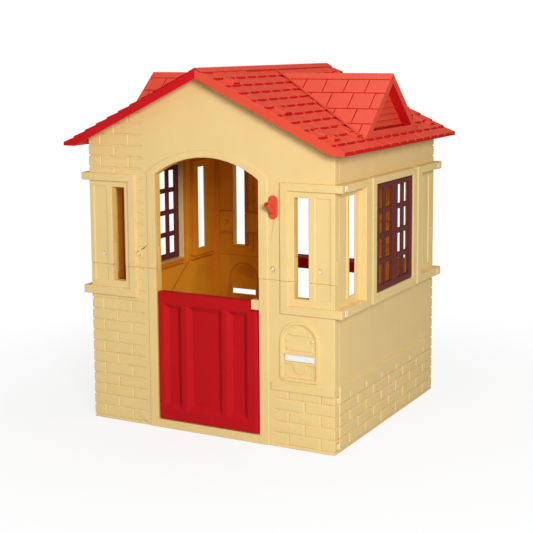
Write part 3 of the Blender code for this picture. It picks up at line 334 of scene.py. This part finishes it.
def add_shingle_joints(bm, side, course, nose):
    """Upright joints between a course's shingles, flared at the butts."""
    first = CAP_REACH + course * SHINGLE_STEP + 0.001
    outline = [
        (first, -JOINT_HALF), (nose - FLARE_LENGTH, -JOINT_HALF), (nose, -FLARE_HALF),
        (nose, FLARE_HALF), (nose - FLARE_LENGTH, JOINT_HALF), (first, JOINT_HALF)]
    y = -ROOF_HALF_LENGTH + (SHINGLE_WIDTH if course % 2 == 0 else SHINGLE_WIDTH / 2)
    while y < ROOF_HALF_LENGTH - 0.01:
        add_prism(bm, outline,
                  lambda p, y=y: (side * p[0], y + p[1], deck_z(p[0]) - 0.0010),
                  lambda p, y=y: (side * p[0], y + p[1], deck_z(p[0]) + 0.0075))
        y += SHINGLE_WIDTH


def add_butt_dashes(bm, side, course, butt):
    """A shadow cut below each shingle's butt, with a break at the joints."""
    y = -ROOF_HALF_LENGTH - (0.0 if course % 2 == 0 else SHINGLE_WIDTH / 2)
    while y < ROOF_HALF_LENGTH:
        start = max(y, -ROOF_HALF_LENGTH) + DASH_BREAK
        end = min(y + SHINGLE_WIDTH, ROOF_HALF_LENGTH) - DASH_BREAK
        outline = [(butt + 0.0002, start), (butt + DASH_WIDTH, start),
                   (butt + DASH_WIDTH, end), (butt + 0.0002, end)]
        if end - start > 0.01:
            add_prism(bm, outline,
                      lambda p: (side * p[0], p[1], deck_z(p[0]) - DASH_DEPTH),
                      lambda p: (side * p[0], p[1], deck_z(p[0]) + 0.0100))
        y += SHINGLE_WIDTH


def add_cap_joints(bm):
    """Joints across the ridge cap, cut to the cap's own V."""
    for piece in range(1, CAP_PIECES):
        y = -ROOF_HALF_LENGTH + piece * CAP_PIECE
        outline = [(-0.05, 0.05 * SLOPE), (0.0, 0.0), (0.05, 0.05 * SLOPE)]
        points = [(x, DECK_TOP_Z + 0.0035 - drop) for x, drop in outline]
        points += [(x, z + 0.02) for x, z in reversed(points)]
        add_prism(bm, points,
                  lambda p, y=y: (p[0], y - CAP_JOINT_HALF, p[1]),
                  lambda p, y=y: (p[0], y + CAP_JOINT_HALF, p[1]))


def roof_grooves(side):
    """All the cuts in one slope of the roof; the left panel also carries the ridge cap."""
    bm = bmesh.new()
    for course in range(SHINGLE_COURSES):
        nose = CAP_REACH + (course + 1) * SHINGLE_STEP + 0.003
        add_shingle_joints(bm, side, course, nose)
        if course < SHINGLE_COURSES - 1:
            add_butt_dashes(bm, side, course, nose - 0.003)
    if side < 0:
        add_cap_joints(bm)
    return bm


def dormer_grooves(side):
    """Lines under the ridge strip and each row, with staggered joints between the shingles."""
    bm = bmesh.new()
    half = DORMER_LINE_HALF

    def roof_z(y):
        return DORMER_RIDGE_Z - DORMER_SLOPE * abs(y)

    for hand in (1, -1):
        for row, y in enumerate(DORMER_ROWS[:-1]):
            lower = DORMER_ROWS[row + 1]
            outline = [(0.02, y - half), (0.60, y - half), (0.60, y + half), (0.02, y + half)]
            add_prism(bm, outline,
                      lambda p: (side * p[0], hand * p[1], roof_z(p[1]) - 0.0034),
                      lambda p: (side * p[0], hand * p[1], roof_z(p[1]) + 0.010))
            x = DORMER_FACE - DORMER_SHINGLE * (0.95 if row % 2 == 0 else 0.42)
            while x > 0.03:
                outline = [(x - half, y), (x + half, y), (x + half, lower), (x - half, lower)]
                add_prism(bm, outline,
                          lambda p: (side * p[0], hand * p[1], roof_z(p[1]) - 0.0030),
                          lambda p: (side * p[0], hand * p[1], roof_z(p[1]) + 0.010))
                x -= DORMER_SHINGLE
    return bm


WALLS = (
    ("front_wall_lower", (0, -1, 0)), ("front_wall_upper", (0, -1, 0)),
    ("back_wall_lower", (0, 1, 0)), ("back_wall_upper", (0, 1, 0)),
    ("side_wall_right", (1, 0, 0)), ("side_wall_left", (-1, 0, 0)))
WALL_FINISHES = (CREAM, CREAM_INSIDE_PAINTED_GLOW, CREAM_RIBS_PAINTED_DIM_GLOW, NUB_PAINTED_HIGHLIGHT, CREAM_JAMB_PAINTED_GLOW)
for node, outward in WALLS:
    moulded(node, "house", WALL_FINISHES, 0.0021, choose=wall_finish(outward))
for node, side in (("roof_panel_right", 1), ("roof_panel_left", -1)):
    moulded(node, "house", (RED, RED_PAINTED_SHADE, RED_SHADE), 0.0007,
            grooves=roof_grooves(side), choose=roof_finish(side))
for node, side in (("dormer_right", 1), ("dormer_left", -1)):
    moulded(node, "house", (RED, RED_PAINTED_SHADE), 0.0008,
            grooves=dormer_grooves(side), choose=dormer_finish(side))
moulded("flag_holder", "house", (RED,), 0.0015)
moulded("rear_counter", "house", (DOOR,), 0.003, 3)
moulded("front_door", "door", (DOOR,), 0.0035, 3)
for node in ("right_front", "right_rear", "left_front", "left_rear"):
    moulded("window_leaf_" + node, "leaf_" + node, (BROWN,), 0.0012)
for name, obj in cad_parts.items():
    if "screw" in name or "pin" in name:
        obj.data.materials.clear()
        obj.data.materials.append(PAINTED if name.startswith("wall_screw") else ZINC)


# ---------------------------------------------------------------- stage

def area_light(name, at, aim, size, power):
    data = bpy.data.lights.new(name, "AREA")
    data.shape = "RECTANGLE"
    data.size, data.size_y = size
    data.energy = power
    obj = bpy.data.objects.new(name, data)
    bpy.context.scene.collection.objects.link(obj)
    obj.location = at
    obj.rotation_euler = (Vector(aim) - Vector(at)).to_track_quat("-Z", "Y").to_euler()


def mix_shaders(tree, factor, when_no, when_yes):
    mix = tree.nodes.new("ShaderNodeMixShader")
    tree.links.new(factor, mix.inputs["Fac"])
    tree.links.new(when_no, mix.inputs[1])
    tree.links.new(when_yes, mix.inputs[2])
    return mix.outputs["Shader"]


def studio_world(ambient):
    """White behind the house, a dimmer white that lights it, and a darker one in reflections."""
    world = bpy.data.worlds.new("studio")
    world.use_nodes = True
    tree = world.node_tree

    def white(node, strength):
        node.inputs["Color"].default_value = (1.0, 1.0, 1.0, 1.0)
        node.inputs["Strength"].default_value = strength
        return node.outputs["Background"]

    lit = white(tree.nodes["Background"], ambient)
    seen = white(tree.nodes.new("ShaderNodeBackground"), 1.0)
    mirrored = white(tree.nodes.new("ShaderNodeBackground"), ambient * 0.3)
    path = tree.nodes.new("ShaderNodeLightPath")
    indirect = mix_shaders(tree, path.outputs["Is Glossy Ray"], lit, mirrored)
    surface = mix_shaders(tree, path.outputs["Is Camera Ray"], indirect, seen)
    tree.links.new(surface, tree.nodes["World Output"].inputs["Surface"])
    bpy.context.scene.world = world


def floor_paper():
    """Pale paper that takes a faint shadow near the house and turns to plain white further out."""
    paper, tree, shader = nodes_of("floor_paper")
    shader.inputs["Base Color"].default_value = (0.92, 0.92, 0.92, 1.0)
    shader.inputs["Roughness"].default_value = 0.9
    shader.inputs["Specular IOR Level"].default_value = 0.0
    coords = tree.nodes.new("ShaderNodeTexCoord")
    reach = tree.nodes.new("ShaderNodeVectorMath")
    reach.operation = "LENGTH"
    tree.links.new(coords.outputs["Object"], reach.inputs[0])
    fade = tree.nodes.new("ShaderNodeMapRange")
    fade.inputs["From Min"].default_value = 0.7
    fade.inputs["From Max"].default_value = 1.8
    fade.inputs["To Min"].default_value = 0.80
    fade.interpolation_type = "SMOOTHSTEP"
    tree.links.new(reach.outputs["Value"], fade.inputs["Value"])
    plain = tree.nodes.new("ShaderNodeEmission")
    plain.inputs["Strength"].default_value = 1.0
    shown = mix_shaders(tree, fade.outputs["Result"], shader.outputs["BSDF"],
                        plain.outputs["Emission"])
    bounce = tree.nodes.new("ShaderNodeBsdfDiffuse")
    bounce.inputs["Color"].default_value = (0.50, 0.50, 0.50, 1.0)
    path = tree.nodes.new("ShaderNodeLightPath")
    surface = mix_shaders(tree, path.outputs["Is Camera Ray"], bounce.outputs["BSDF"], shown)
    tree.links.new(surface, tree.nodes["Material Output"].inputs["Surface"])
    return paper


def stage():
    bm = bmesh.new()
    bmesh.ops.create_grid(bm, x_segments=1, y_segments=1, size=30.0)
    floor = new_object("floor", bm)
    floor.location = (0.0, 0.0, -0.0005)
    floor.data.materials.append(floor_paper())
    studio_world(0.36)
    area_light("key", (3.2, -4.2, 2.1), (0.0, 0.0, 0.6), (1.3, 1.3), 222.0)
    area_light("fill", (-3.0, -3.2, 1.6), (0.0, 0.0, 0.5), (2.0, 2.0), 4.0)
    area_light("top", (0.3, 0.2, 4.2), (0.0, 0.0, 0.6), (2.5, 2.5), 42.0)


def camera():
    """A camera in front and to the right of the house, just above its eaves."""
    place = Vector((1.967, -3.662, 1.249))
    yaw, pitch, roll = (math.radians(a) for a in (28.313, 7.574, -0.399))
    level = math.cos(pitch)
    ahead = Vector((-math.sin(yaw) * level, math.cos(yaw) * level, -math.sin(pitch)))
    right = Vector((math.cos(yaw), math.sin(yaw), 0.0))
    up = right.cross(ahead)
    across = math.cos(roll) * right + math.sin(roll) * up
    upward = -math.sin(roll) * right + math.cos(roll) * up
    data = bpy.data.cameras.new("camera")
    data.sensor_width = 36.0
    data.lens = 81.80038
    data.shift_y = -0.112570356
    data.dof.use_dof = False
    obj = bpy.data.objects.new("camera", data)
    turn = Matrix((across, upward, -ahead)).transposed().to_4x4()
    obj.matrix_world = Matrix.Translation(place) @ turn
    bpy.context.scene.collection.objects.link(obj)
    bpy.context.scene.camera = obj


stage()
camera()
bpy.context.scene.view_settings.view_transform = "Standard"
